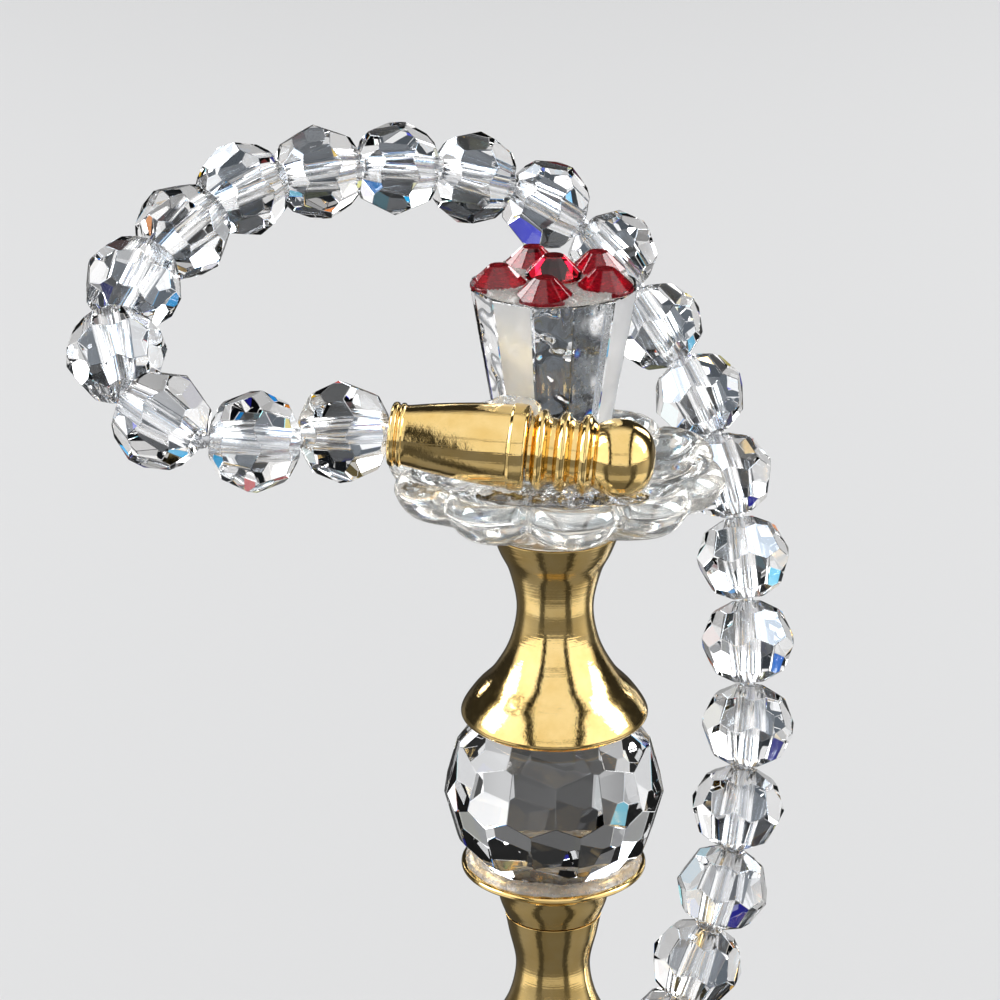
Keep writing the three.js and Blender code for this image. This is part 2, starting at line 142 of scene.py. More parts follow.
def tinted(tree, shader, value, dark, light, source=(0.3, 0.7)):
    """Base colour that goes from dark to light as a cloudy value goes through the source range."""
    ramp = tree.nodes.new("ShaderNodeValToRGB")
    for element, position, colour in zip(ramp.color_ramp.elements, source, (dark, light)):
        element.position = position
        element.color = (*colour, 1)
    tree.links.new(value, ramp.inputs["Fac"])
    tree.links.new(ramp.outputs["Color"], shader.inputs["Base Color"])


def roughened(tree, shader, value, source, result):
    """Roughness that follows a cloudy value, from one range to another."""
    tree.links.new(ranged(tree, value, source, result), shader.inputs["Roughness"])


def bumped(tree, shader, height, depth, below=None):
    """Raises a surface by a height map, depth in millimetres; below is the bump that it goes on top of."""
    bump = tree.nodes.new("ShaderNodeBump")
    bump.inputs["Strength"].default_value = 1
    bump.inputs["Distance"].default_value = depth * MM
    tree.links.new(height, bump.inputs["Height"])
    if below is not None:
        tree.links.new(below, bump.inputs["Normal"])
    tree.links.new(bump.outputs["Normal"], shader.inputs["Normal"])
    return bump.outputs["Normal"]


def set_or_link(tree, value, socket):
    """Gives a socket a number or another node's output."""
    if isinstance(value, (int, float)):
        socket.default_value = value
    else:
        tree.links.new(value, socket)


def math_node(tree, operation, *values):
    """A sum, product or other simple function of one or two sockets or numbers."""
    node = tree.nodes.new("ShaderNodeMath")
    node.operation = operation
    for value, socket in zip(values, node.inputs):
        set_or_link(tree, value, socket)
    return node.outputs[0]


def blended(tree, amount, first, second):
    """A number that goes from first to second as amount goes from 0 to 1."""
    node = tree.nodes.new("ShaderNodeMix")
    tree.links.new(amount, node.inputs["Factor"])
    set_or_link(tree, first, node.inputs["A"])
    set_or_link(tree, second, node.inputs["B"])
    return node.outputs["Result"]


def vector_node(tree, operation, vector):
    node = tree.nodes.new("ShaderNodeVectorMath")
    node.operation = operation
    tree.links.new(vector, node.inputs[0])
    return node


def split_vector(tree, vector):
    """The X, Y and Z of a vector, by name."""
    split = tree.nodes.new("ShaderNodeSeparateXYZ")
    tree.links.new(vector, split.inputs["Vector"])
    return split.outputs


# ---- the studio that the metal and the crystal see ----
# How bright its parts are, and how far aside the dark gap starts and ends: 0 is straight ahead or behind,
# and 1 is square to the side.
Studio = namedtuple("Studio", "front gap side back gap_start gap_end")
STUDIO_ROUND = Studio(front=1.0, gap=0.02, side=1.5, back=0.03, gap_start=0.36, gap_end=0.5)
# Painted studio light in the pale floor's colour: as the metal sees it, and as the crystal lets it through.
FLOOR_PAINTED_STUDIO_IN_METAL = Studio(front=0.5, gap=0.05, side=0.95, back=0.035, gap_start=0.5, gap_end=0.72)
FLOOR_PAINTED_STUDIO_THROUGH_CRYSTAL = Studio(front=0.9, gap=0.12, side=0.9, back=0.035, gap_start=0.16, gap_end=0.34)
BOX_LINE = 0.48  # how far up the dark line between the two soft boxes is
WALLS_BEHIND = 0.72  # how much further back the walls reach for light that leaves the crystal


def studio_brightness(tree, direction, in_crystal, studio, shift=0.0):
    """The brightness of the studio in a direction: two soft boxes in front, one above the other, a dark gap
    on each side of them, a bright wall to the left and to the right, and darkness behind. in_crystal is 1
    for light that leaves the crystal, which sees the walls reach nearly all the way back. shift moves the
    edges inwards."""
    way = split_vector(tree, vector_node(tree, "NORMALIZE", direction).outputs["Vector"])
    aside = math_node(tree, "ADD", math_node(tree, "ABSOLUTE", way["X"]), shift)
    boxes_end = (studio.gap_start, studio.gap_start + 0.06)
    walls_start = (studio.gap_end, studio.gap_end + 0.08)
    boxes = ranged(tree, aside, boxes_end, (studio.front - studio.gap, 0))
    walls = ranged(tree, aside, walls_start, (studio.gap, studio.side))
    from_line = math_node(tree, "ABSOLUTE", math_node(tree, "SUBTRACT", way["Z"], BOX_LINE))
    lined_boxes = math_node(tree, "MULTIPLY", boxes, ranged(tree, from_line, (0.01, 0.05), (0.5, 1)))
    lit_boxes = math_node(tree, "MULTIPLY", lined_boxes, ranged(tree, way["Y"], (0.3, 0.6), (1, 0)))
    behind = math_node(tree, "SUBTRACT", way["Y"], math_node(tree, "MULTIPLY", in_crystal, WALLS_BEHIND))
    lit_walls = math_node(tree, "MULTIPLY", walls, ranged(tree, behind, (0.1, 0.35), (1, 0)))
    return math_node(tree, "MAXIMUM", math_node(tree, "ADD", lit_boxes, lit_walls), studio.back)


def floor_material():
    """A pale floor, plain to the camera and to matt surfaces. The metal and the crystal see it as part of
    the
    studio: for them its colour is painted studio light. In the metal it holds a painted shadow near the
    foot, painted light a little further out, and fades from there. Through the crystal its painted light
    gets brighter outwards. Distances are in metres."""
    paleness = 0.74
    made, tree, shader = principled("pale_floor", Roughness=0.6)
    path = tree.nodes.new("ShaderNodeLightPath").outputs
    in_crystal = path["Is Transmission Ray"]
    place = tree.nodes.new("ShaderNodeTexCoord").outputs["Object"]
    distance = vector_node(tree, "LENGTH", place).outputs["Value"]
    # A painted shadow near the foot, painted light a little further out, fading beyond: the ring of painted
    # light on the floor that the metal sees.
    painted_foot_shadow = ranged(tree, distance, (0.04, 0.055), (0.25, 1))
    painted_light_falloff = ranged(tree, distance, (0.08, 0.1), (1, 0.35))
    ring = math_node(tree, "MULTIPLY", painted_foot_shadow, painted_light_falloff)
    # Painted studio light, soft boxes and walls, in the floor's colour for the metal.
    painted_studio_in_metal = studio_brightness(tree, place, in_crystal, FLOOR_PAINTED_STUDIO_IN_METAL)
    painted_light_in_metal = math_node(tree, "MULTIPLY", ring, painted_studio_in_metal)
    # The floor's painted studio light as seen through the crystal, brighter outwards.
    painted_studio_through_crystal = studio_brightness(tree, place, in_crystal, FLOOR_PAINTED_STUDIO_THROUGH_CRYSTAL)
    painted_outward_brightening = ranged(tree, distance, (0.03, 0.13), (0.6, 1))
    through = math_node(tree, "MULTIPLY", painted_studio_through_crystal, painted_outward_brightening)
    # The camera and matt surfaces see the plain pale floor; the metal and the crystal see the painted light.
    seen = blended(tree, in_crystal, blended(tree, path["Is Glossy Ray"], paleness, painted_light_in_metal), through)
    tree.links.new(seen, shader.inputs["Base Color"])
    return made


# ---- materials ----
def gilt_material(name, turn=(0, 0, 0)):
    """Polished gold plate over turned brass: faint tool lines round the turning axis, a slight orange peel
    over them, and fine grain on that."""
    made, tree, shader = principled(name, Metallic=1.0)
    cloud = noise_value(tree, scale=0.9)
    tinted(tree, shader, cloud, dark=(0.88, 0.6, 0.21), light=(0.98, 0.72, 0.31))
    wear = noise_value(tree, scale=3.2, detail=5)
    roughened(tree, shader, wear, (0.35, 0.7), (0.05, 0.14))
    tool_lines = noise_value(tree, scale=1, detail=2, stretch=(0.12, 0.12, 9), turn=turn)
    orange_peel = noise_value(tree, scale=2.6, detail=4)
    fine_grain = noise_value(tree, scale=9, detail=3)
    lined = bumped(tree, shader, tool_lines, 0.006)
    peeled = bumped(tree, shader, orange_peel, 0.007, below=lined)
    bumped(tree, shader, fine_grain, 0.0025, below=peeled)
    return made


def crystal_material(name, ior, rough, waves=None, film=0.0, grain=1.7, clear=1.0, warm=0.0):
    """Lead crystal, clear or partly milky. rough is its roughness outside and inside patches of haze, which
    get smaller with grain. waves are the depth, closeness and detail of an uneven surface. film is the
    thickness in nanometres of a coating that tints the reflections."""
    made, tree, shader = principled(
        name,
        Base_Color=(0.985 + warm / 2, 0.99, 1 - warm, 1),
        IOR=ior,
        Transmission_Weight=clear,
        Thin_Film_Thickness=film,
        Thin_Film_IOR=1.9,
    )
    haze = noise_value(tree, grain, detail=5)
    roughened(tree, shader, haze, (0.45, 0.75), rough)
    if waves:
        depth, closeness, detail = waves
        bumped(tree, shader, noise_value(tree, closeness, detail), depth)
    return made


def ruby_material():
    """Deep red crystal."""
    made, tree, shader = principled("ruby", IOR=1.6, Transmission_Weight=1.0)
    cloud = noise_value(tree, scale=1.1)
    tinted(tree, shader, cloud, dark=(0.42, 0.004, 0.014), light=(0.74, 0.012, 0.035))
    haze = noise_value(tree, scale=4, detail=4)
    roughened(tree, shader, haze, (0.45, 0.75), (0.0, 0.02))
    return made


def cloudy_glue_material():
    """Set adhesive with air in it, which looks whitish."""
    made, tree, shader = principled("cloudy_glue", IOR=1.48, Transmission_Weight=0.6, Coat_Weight=0.4)
    cloud = noise_value(tree, scale=3, detail=5)
    tinted(tree, shader, cloud, dark=(0.8, 0.77, 0.7), light=(0.97, 0.95, 0.92))
    roughened(tree, shader, cloud, (0.35, 0.7), (0.1, 0.4))
    bumped(tree, shader, cloud, 0.05)
    return made


def foil_material():
    """The metal foil on the back of a flat-backed stone."""
    made, tree, shader = principled("stone_foil", Metallic=1.0)
    cloud = noise_value(tree, scale=3)
    tinted(tree, shader, cloud, dark=(0.7, 0.62, 0.58), light=(0.95, 0.88, 0.84))
    grain = noise_value(tree, scale=9, detail=4)
    roughened(tree, shader, grain, (0.3, 0.7), (0.15, 0.3))
    return made


def steel_material():
    """Bright drawn wire, duller in fine patches."""
    made, tree, shader = principled("bright_wire", Metallic=1.0)
    cloud = noise_value(tree, scale=1.5)
    tinted(tree, shader, cloud, dark=(0.6, 0.61, 0.63), light=(0.85, 0.86, 0.88))
    dullness = noise_value(tree, scale=14, detail=3)
    roughened(tree, shader, dullness, (0.3, 0.7), (0.12, 0.32))
    return made


def felt_material():
    """Dark pressed felt: matted fibres with a soft sheen."""
    made, tree, shader = principled("felt", Roughness=0.95, Sheen_Weight=0.5)
    fibre = noise_value(tree, scale=7, detail=8, roughness=0.75, stretch=(1, 1, 2))
    dark, light = (0.012, 0.011, 0.012), (0.06, 0.055, 0.058)
    tinted(tree, shader, fibre, dark, light, source=(0.35, 0.7))
    bumped(tree, shader, fibre, 0.12)
    return made


POLISHED = (0.0, 0.02)
CUT_IOR = 1.58
PRESSED_IOR = 1.52
gilt = gilt_material("gilt_upright")
crystal = crystal_material("cut_crystal", CUT_IOR, POLISHED)
bore_crystal = crystal_material("bore_crystal", CUT_IOR, (0.1, 0.3))
bead_crystal = crystal_material("bead_crystal", CUT_IOR, POLISHED, film=30)
pressed_crystal = crystal_material(
    "pressed_crystal", PRESSED_IOR, (0.0, 0.04), waves=(0.008, 1.3, 3), film=62, clear=0.95, warm=0.05)
pressed_underside = crystal_material(
    "pressed_underside", PRESSED_IOR, (0.12, 0.25), waves=(0.02, 1.3, 3), film=62, clear=0.92, warm=0.05)
# Milky, mostly matt white crystal for two of the bowl's facets: a painted highlight in place of the light
# that they reflect.
painted_highlight_facet = crystal_material("painted_highlight_facet", CUT_IOR, (0.3, 0.45), film=62, clear=0.3)
flecked_facet = crystal_material("flecked_facet", CUT_IOR, (0.04, 0.5), grain=7)
wavy_facet = crystal_material("wavy_facet", CUT_IOR, (0.0, 0.1), waves=(0.9, 0.55, 1), film=62)
glue = crystal_material("clear_glue", 1.48, (0.01, 0.08), waves=(0.12, 1.3, 3))
cloudy_glue = cloudy_glue_material()
ruby = ruby_material()
foil = foil_material()
steel = steel_material()
felt = felt_material()


# ---- mesh tools; every bmesh is in millimetres until it becomes a piece ----
def new_piece(name, shape, materials, node=None, body="root", crease=METAL):
    """Turns a closed bmesh into a piece on a body. crease is the least angle of a sharp edge, in degrees."""
    bmesh.ops.recalc_face_normals(shape, faces=shape.faces)
    for edge in shape.edges:
        edge.smooth = edge.is_manifold and edge.calc_face_angle() < math.radians(crease)
    for face in shape.faces:
        face.smooth = True
    bmesh.ops.scale(shape, vec=(MM, MM, MM), verts=shape.verts)
    mesh = bpy.data.meshes.new(name)
    shape.to_mesh(mesh)
    shape.free()
    for made in materials:
        mesh.materials.append(made)
    piece = bpy.data.objects.new(name, mesh)
    bpy.context.scene.collection.objects.link(piece)
    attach(piece, body)
    if node:
        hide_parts(node)


def spline(a, b, c, d, t):
    """A Catmull-Rom curve's value between b and c."""
    square = (2 * a - 5 * b + 4 * c - d) * t * t
    cube = (3 * b - a - 3 * c + d) * t ** 3
    return 0.5 * (2 * b + (c - a) * t + square + cube)


def smooth(points, count=8):
    """Points of a smooth outline through a few of its own, count to a span."""
    ends = [points[0], *points, points[-1]]
    found = []
    for four in zip(ends, ends[1:], ends[2:], ends[3:]):
        for k in range(count):
            t = k / count
            found.append([spline(*values, t) for values in zip(*four)])
    return found + [list(points[-1])]


def eased(outline, size=CORNER):
    """The outline with its corners rounded off, so that edges catch the light."""
    least_corner = math.radians(18)
    most = 0.45  # of a side's length that one corner may take up
    found = [outline[0]]
    for before, here, after in zip(outline, outline[1:], outline[2:]):
        a, b, c = Vector(before), Vector(here), Vector(after)
        into, out = b - a, c - b
        if into.length < TINY or out.length < TINY:
            continue
        if into.angle(out) < least_corner:
            found.append(here)
            continue
        reach = min(size, into.length * most, out.length * most)
        start = b - into.normalized() * reach
        end = b + out.normalized() * reach
        for t in (0, 0.25, 0.5, 0.75, 1):
            found.append(list(start.lerp(b, t).lerp(b.lerp(end, t), t)))
    return found + [outline[-1]]


def join_rings(shape, low, high):
    """Faces between two rings of vertices, either of which may be a single point."""
    count = max(len(low), len(high))
    for k in range(count):
        after = (k + 1) % count
        corners = [low[k % len(low)], low[after % len(low)], high[after % len(high)], high[k % len(high)]]
        corners = list(dict.fromkeys(corners))
        if len(corners) > 2:
            shape.faces.new(corners)


def turned(outline, sides=TURNED_SIDES, looped=False):
    """A turned solid about Z. Its outline has (radius, height) points, and starts and ends on the axis or
    closes on itself."""
    shape = bmesh.new()
    turns = [2 * math.pi * k / sides for k in range(sides)]
    rings = []
    for radius, height in outline:
        places = [(radius * math.cos(t), radius * math.sin(t), height) for t in turns]
        if radius < TINY:
            places = [(0, 0, height)]
        rings.append([shape.verts.new(place) for place in places])
    for low, high in zip(rings, rings[1:]):
        join_rings(shape, low, high)
    if looped:
        join_rings(shape, rings[-1], rings[0])
    bmesh.ops.recalc_face_normals(shape, faces=shape.faces)
    return shape


def cylinder(radius, low, high, sides=BORE_SIDES):
    return turned([(0, low), (radius, low), (radius, high), (0, high)], sides)


def set_in_place(shape, origin, direction=UP):
    """Turns a shape's Z axis to a direction and moves it to an origin."""
    turn = UP.rotation_difference(direction).to_matrix().to_4x4()
    bmesh.ops.transform(shape, matrix=Matrix.Translation(origin) @ turn, verts=shape.verts)
    return shape


def loose_object(shape):
    mesh = bpy.data.meshes.new("shape")
    shape.to_mesh(mesh)
    shape.free()
    made = bpy.data.objects.new("shape", mesh)
    bpy.context.scene.collection.objects.link(made)
    return made


def combined(shape, tool, operation):
    """A closed shape with another closed shape cut out of it (DIFFERENCE) or joined to it (UNION)."""
    other = loose_object(tool)
    holder = loose_object(shape)
    modifier = holder.modifiers.new("combined", "BOOLEAN")
    modifier.operation = operation
    modifier.solver = "EXACT"
    modifier.object = other
    evaluated = holder.evaluated_get(bpy.context.evaluated_depsgraph_get())
    result = bmesh.new()
    result.from_mesh(bpy.data.meshes.new_from_object(evaluated))
    bpy.data.objects.remove(holder)
    bpy.data.objects.remove(other)
    return result


def carved(shape, *tools):
    """A closed shape with other closed shapes cut out of it."""
    for tool in tools:
        shape = combined(shape, tool, "DIFFERENCE")
    return shape


def hull_of(points):
    """The convex solid round some points, with each flat side as one face."""
    shape = bmesh.new()
    for point in points:
        shape.verts.new(point)
    bmesh.ops.convex_hull(shape, input=shape.verts)
    spare = [v for v in shape.verts if not v.link_faces]
    bmesh.ops.delete(shape, geom=spare, context="VERTS")
    flat = math.radians(0.8)
    bmesh.ops.dissolve_limit(shape, angle_limit=flat, verts=shape.verts, edges=shape.edges)
    return shape


def room_for(node, centre, growth):
    """The solid that cuts the seat of a crystal: the crystal itself, a little larger."""
    return hull_of([centre + (p - centre) * growth for p in points_mm(node)])


def polished(shape, edge=FACET_EDGE):
    """A cut crystal whose facets meet in narrow polished edges."""
    bmesh.ops.bevel(shape, geom=shape.edges[:], offset=edge, segments=1, profile=0.5, affect="EDGES")
    return shape


def sweep(path, radius, sides=BORE_SIDES):
    """A closed tube along a path of points."""
    shape = bmesh.new()
    turns = [2 * math.pi * k / sides for k in range(sides)]
    rings = []
    across = None
    for i, point in enumerate(path):
        tangent = (path[min(i + 1, len(path) - 1)] - path[max(i - 1, 0)]).normalized()
        across = tangent.orthogonal() if across is None else across - tangent * across.dot(tangent)
        across.normalize()
        side = tangent.cross(across)
        spokes = [across * math.cos(t) + side * math.sin(t) for t in turns]
        rings.append([shape.verts.new(point + spoke * radius) for spoke in spokes])
    for low, high in zip(rings, rings[1:]):
        join_rings(shape, low, high)
    join_rings(shape, [shape.verts.new(path[0])], rings[0])
    join_rings(shape, rings[-1], [shape.verts.new(path[-1])])
    return shape


def lumpy(shape, size, depth, seed):
    """Pushes vertices in and out by a smooth noise, as set glue is uneven."""
    for vertex in shape.verts:
        push = noise.noise(vertex.co / size + Vector((seed, 0, 0)))
        vertex.co += vertex.normal * push * depth
    return shape


# ---- the stem's pieces, from the pad up ----
def add_base():
    """The felt pad, the turned foot and the crystal vase that sits in it."""
    pad_corner = box_mm("foot_pad")[1]
    pad_outline = [(0, 0), (pad_corner.x, 0), (pad_corner.x, pad_corner.z), (0, pad_corner.z)]
    new_piece("felt_pad", turned(eased(pad_outline, size=0.12)), [felt], "foot_pad")
    foot_corner = box_mm("foot")[1]
    edge, seat_height = foot_corner.x, foot_corner.z
    underside = pad_corner.z + GAP
    bevel = 0.2
    seat_depth = 2.4
    rolls = smooth([(9.2, 1.5), (6.6, 1.9), (4.9, 3), (4.7, 4.1), (5.55, seat_height - 0.06)])
    outline = [
        (0, underside),
        (edge - bevel, underside),
        (edge, underside + bevel),
        (edge, 1),
        (9.62, 1.05),
        (9.62, 1.14),
        (9.4, 1.3),
        *rolls,
        (4.95, seat_height),
        (0, seat_height - seat_depth),
    ]
    vase_low, vase_high = box_mm("vase")
    seat = room_for("vase", (vase_low + vase_high) / 2, growth=1.01)
    foot_shape = carved(turned(eased(outline, size=0.1)), seat)
    new_piece("turned_foot", foot_shape, [gilt], "foot")
    vase_shape = polished(hull_of(points_mm("vase")), edge=0.05)
    new_piece("cut_vase", vase_shape, [crystal], "vase", crease=FACETED)


def collar_seat():
    """The height at which the collar rests on the vase."""
    return box_mm("port_collar")[0].z + COLLAR_LIP


def add_collar():
    """The turned collar between the vase and the lower bell."""
    outline = [
        (0, 0),
        (3.5, 0),
        *smooth([(4.3, -COLLAR_LIP), (4.5, -0.18), (4.4, 0.05)], 5),
        (3.9, 0.2),
        (3.9, 0.3),
        *smooth([(3.1, 0.5), (2.5, 0.9), (2.4, 1.3)], 5),
        *smooth([(2.4, 2.5), (2.5, 3), (2.9, 3.35)], 5),
        (3.1, 3.4),
        (3.1, 3.5),
        *smooth([(3.6, 3.7), (3.9, 4.1), (3.8, 4.4)], 5),
        (2.9, 4.4),
        (2.9, 5.3),
        (0, 5.3),
    ]
    shape = set_in_place(turned(eased(outline, size=0.05)), (0, 0, collar_seat()))
    new_piece("turned_collar", shape, [gilt], "port_collar")


def bell_shape(node, inside, neck, top):
    """A turned bell from its mouth up: inside closes its mouth, neck ends its side, and top closes that."""
    side = smooth([
        (3.72, 0),
        (3.9, 0.32),
        (3.38, 1.15),
        (2.58, 2.04),
        (1.87, 3.39),
        (1.59, 4.96),
        (1.89, 6.51),
        *neck,
    ])
    outline = [*inside, (3.6, 0), *side, *top]
    return set_in_place(turned(eased(outline)), (0, 0, box_mm(node)[0].z))


def cup_shape():
    """The turned saucer under the crystal ball, with a hole for the screw."""
    outline = [
        (0.5, 0),
        (2.06, 0),
        *smooth([(2.1, 0.12), (2.28, 0.6), (2.4, 1.15), (2.62, 1.56), (3.3, 2.0), (3.84, 2.16)], 6),
        (3.91, 2.22),
        (3.91, 2.34),
        *smooth([(3.86, 2.4), (3.7, 2.43), (3.55, 2.42), (3.42, 2.5), (3.3, 2.58), (3.15, 2.55)], 5),
        (1, 2.55),
        (1, 0.4),
        (0.5, 0.4),
    ]
    return set_in_place(turned(eased(outline), looped=True), (0, 0, box_mm("ball_cup")[0].z))


def add_stem():
    """Two bells, with the crystal ball held between the upper one and a turned cup."""
    hollow_mouth = [(0, 1.2), (2.95, 1.2), (2.95, 0)]
    screw_hole = [(0.5, 7.4), (0.5, 5.4), (0, 5.4)]
    lower_bell = bell_shape("lower_bell", hollow_mouth, [(2.06, 7.4)], screw_hole)
    new_piece("turned_lower_bell", lower_bell, [gilt], "lower_bell")
    ball_centre, growth = middle("crystal_ball"), 1.012
    upper_bell = bell_shape("upper_bell", [(0, 0)], [(2.3, 7.4), (2.65, 8.3)], [(0, 8.3)])
    seated_bell = carved(upper_bell, room_for("crystal_ball", ball_centre, growth))
    new_piece("turned_upper_bell", seated_bell, [gilt], "upper_bell")
    seated_cup = carved(cup_shape(), room_for("crystal_ball", ball_centre, growth))
    new_piece("turned_cup", seated_cup, [gilt], "ball_cup")
    ball = polished(hull_of(points_mm("crystal_ball")))
    new_piece("cut_ball", ball, [crystal], "crystal_ball", crease=FACETED)
    screw = frame["nodes"]["cup_screw"]
    screw.data.materials.clear()
    screw.data.materials.append(steel)


# ---- the flower dish and what stands on it ----
def petal_lift(radius, height, side, outward):
    """How far a point of the dish moves up. side is 0 in the middle of a petal and 1 between two, and
    outward is 0 near the dish's middle and 1 at its edge."""
    top_above, underside_below = -0.56, -0.9
    if height > top_above:
        hollow_depth, hollow_middle, hollow_reach, hollow_width = 0.42, 4.65, 1.35, 0.78
        dip = max(0, 1 - ((radius - hollow_middle) / hollow_reach) ** 2 - (side / hollow_width) ** 2)
        rim_step, rim_start, rim_steepness = 0.09, 6.02, 22
        step = rim_step / (1 + math.exp((radius - rim_start) * rim_steepness))
        crease_depth, crease_width = 0.22, 0.11
        crease = crease_depth * math.exp(-(((1 - side) / crease_width) ** 2)) * outward
        return -hollow_depth * dip ** 0.7 - step - crease
    if height < underside_below:
        rise_between = 0.45
        return rise_between * side ** 2 * outward
    return 0


def petal_point(radius, turn, height):
    """Where a point of the turned dish goes when its outer part is drawn in between the petals."""
    pitch = 2 * math.pi / PETALS
    around = turn + math.pi / 2 - math.radians(PETAL_TURN)
    offset = around - pitch * round(around / pitch)
    centre = PETAL_TIP - PETAL_ROUND
    aside = centre * math.sin(offset)
    reach = centre * math.cos(offset) + math.sqrt(PETAL_ROUND ** 2 - aside ** 2)
    plain_radius, petal_length = 2.8, 3.1
    t = min(1, max(0, (radius - plain_radius) / petal_length))
    outward = t * t * (3 - 2 * t)
    scale = 1 + (reach / PETAL_TIP - 1) * outward
    lift = petal_lift(radius, height, abs(offset) / (pitch / 2), outward)
    return Vector((radius * scale * math.cos(turn), radius * scale * math.sin(turn), height + lift))


def add_dish():
    """The pressed crystal flower dish, clearer on top than on its underside."""
    outline = [
        (0, -3.15),
        *smooth([(1.2, -3.15), (2.6, -3.15)], 3),
        *smooth([
            (2.7, -3.12),
            (3, -2.9),
            (3.8, -2.5),
            (5.1, -2.15),
            (6.4, -1.6),
            (PETAL_TIP, -0.65),
            (6.45, 0),
            (5.8, -0.2),
            (5.2, -0.32),
            (4.6, -0.35),
            (3.9, -0.32),
            (2.9, -0.5),
            (2.2, -0.52),
        ], 7),
        *smooth([(2, -0.5), (1, -0.5)], 3),
        (0, -0.5),
    ]
    sides_per_petal = 26
    shape = turned(outline, PETALS * sides_per_petal)
    for vertex in shape.verts:
        place = vertex.co
        vertex.co = petal_point(math.hypot(place.x, place.y), math.atan2(place.y, place.x), place.z)
    bmesh.ops.recalc_face_normals(shape, faces=shape.faces)
    facing_down = -0.25
    for face in shape.faces:
        face.material_index = 1 if face.normal.z < facing_down else 0
    set_in_place(shape, (0, 0, rim_height))
    materials = [pressed_crystal, pressed_underside]
    new_piece("pressed_dish", shape, materials, "dish", crease=ROUNDED)


def bowl_facet_material(turn):
    """The material of a side facet of the bowl, from its turn in degrees from the front to the right. The
    facets at the front left and the right get milky white crystal, a painted highlight in place of the light
    that they reflect.
    """
    if -46 < turn < -16 or 44 < turn < 74:
        # Milky white facets at the front left and the right: a painted highlight.
        return painted_highlight_facet
    if 14 < turn < 44:
        return flecked_facet
    return wavy_facet if abs(turn) > 164 else crystal


def add_bowl():
    """The cut bowl, with milky white facets at the front left and the right, a painted highlight in place of
    the light that they reflect, one with flecks between them, and a wavy one at the back, which breaks up
    the light that comes through."""
    facet_materials = [crystal, painted_highlight_facet, flecked_facet, wavy_facet]
    shape = polished(hull_of(points_mm("bowl")), edge=0.04)
    for face in shape.faces:
        is_side_facet = abs(face.normal.z) < 0.5 and face.calc_area() > 1
        if is_side_facet:
            turn = math.degrees(math.atan2(face.normal.x, -face.normal.y))
            face.material_index = facet_materials.index(bowl_facet_material(turn))
    new_piece("cut_bowl", shape, facet_materials, "bowl", crease=FACETED)


def add_stones():
    """Six flat-backed red stones on the bowl, each with its foil."""
    foil_radius = STONE_RADIUS - 0.05
    foil_thickness = 0.03
    foil_gap = 0.005
    foil_outline = [(0, -foil_thickness), (foil_radius, -foil_thickness), (foil_radius, 0), (0, 0)]
    for node in sorted(n for n in frame["nodes"] if n.startswith("stone_")):
        shape = polished(hull_of(points_mm(node)), edge=0.02)
        new_piece(f"cut_{node}", shape, [ruby], node, crease=FACETED)
        low, high = box_mm(node)
        centre = (low + high) / 2
        sheet = turned(eased(foil_outline, size=0.01), BORE_SIDES)
        set_in_place(sheet, (centre.x, centre.y, low.z - foil_gap))
        new_piece(f"foil_{node}", sheet, [foil])


# ---- the hose ----
def bead_places():
    """Each bead's node, centre and direction along the wire, from its joint."""
    joints = sorted(frame["joints"], key=lambda joint: joint["name"])
    return [(j["child"], Vector(j["pos_m"]) / MM, Vector(j["axis"])) for j in joints]


def distance_from_axis(point, centre, axis):
    away = point - centre
    return (away - axis * away.dot(axis)).length


def add_beads():
    """The faceted beads, each bored through, with countersunk mouths."""
    mouth = BEAD_HALF - 0.1
    beyond = BEAD_HALF + 0.5
    wide = BORE_RADIUS + 0.6
    bore_outline = [
        (0, -beyond),
        (wide, -beyond),
        (BORE_RADIUS, -mouth),
        (BORE_RADIUS, mouth),
        (wide, beyond),
        (0, beyond),
    ]
    off_bore = BORE_RADIUS + 0.02
    in_bore = BORE_RADIUS + 0.01
    for node, centre, axis in bead_places():
        corners = [p for p in points_mm(node) if distance_from_axis(p, centre, axis) > off_bore]
        bore = set_in_place(turned(bore_outline, BORE_SIDES), centre, axis)
        shape = carved(polished(hull_of(corners)), bore)
        for face in shape.faces:
            from_axis = distance_from_axis(face.calc_center_median(), centre, axis)
            face.material_index = 1 if from_axis < in_bore else 0
        materials = [bead_crystal, bore_crystal]
        new_piece(f"cut_{node}", shape, materials, node, body=node, crease=FACETED)


def add_wire(start, direction):
    """The formed wire, from its crimp in the mouthpiece to its crimp in the port."""
    short_of_floor = 0.2  # of the mouthpiece's socket
    in_port = 1.5
    places = bead_places()
    route = [start + direction * (SOCKET_DEPTH - short_of_floor)]
    for _, centre, axis in places:
        route.append(centre - axis * BEAD_HALF)
        route.append(centre + axis * BEAD_HALF)
    _, centre, axis = places[-1]
    route.append(centre + axis * (BEAD_HALF + GAP + in_port))
    path = [Vector(p) for p in smooth(route, 6)]
    new_piece("drawn_wire", sweep(path, WIRE_RADIUS, sides=20), [steel], "hose_wire")


def add_crimp(place, origin, direction, material):
    """A sleeve squeezed on to the wire in two places, in the mouthpiece or the port."""
    inner, length = 0.24, 1.1
    outline = [
        (inner, 0),
        *smooth([
            (0.38, 0),
            (0.42, 0.06),
            (0.36, 0.32),
            (0.42, 0.55),
            (0.36, 0.78),
            (0.42, 1.04),
            (0.38, length),
        ], 5),
        (inner, length),
    ]
    shape = set_in_place(turned(outline, BORE_SIDES, looped=True), origin, direction)
    new_piece(f"squeezed_crimp_{place}", shape, [material], f"wire_crimp_{place}")


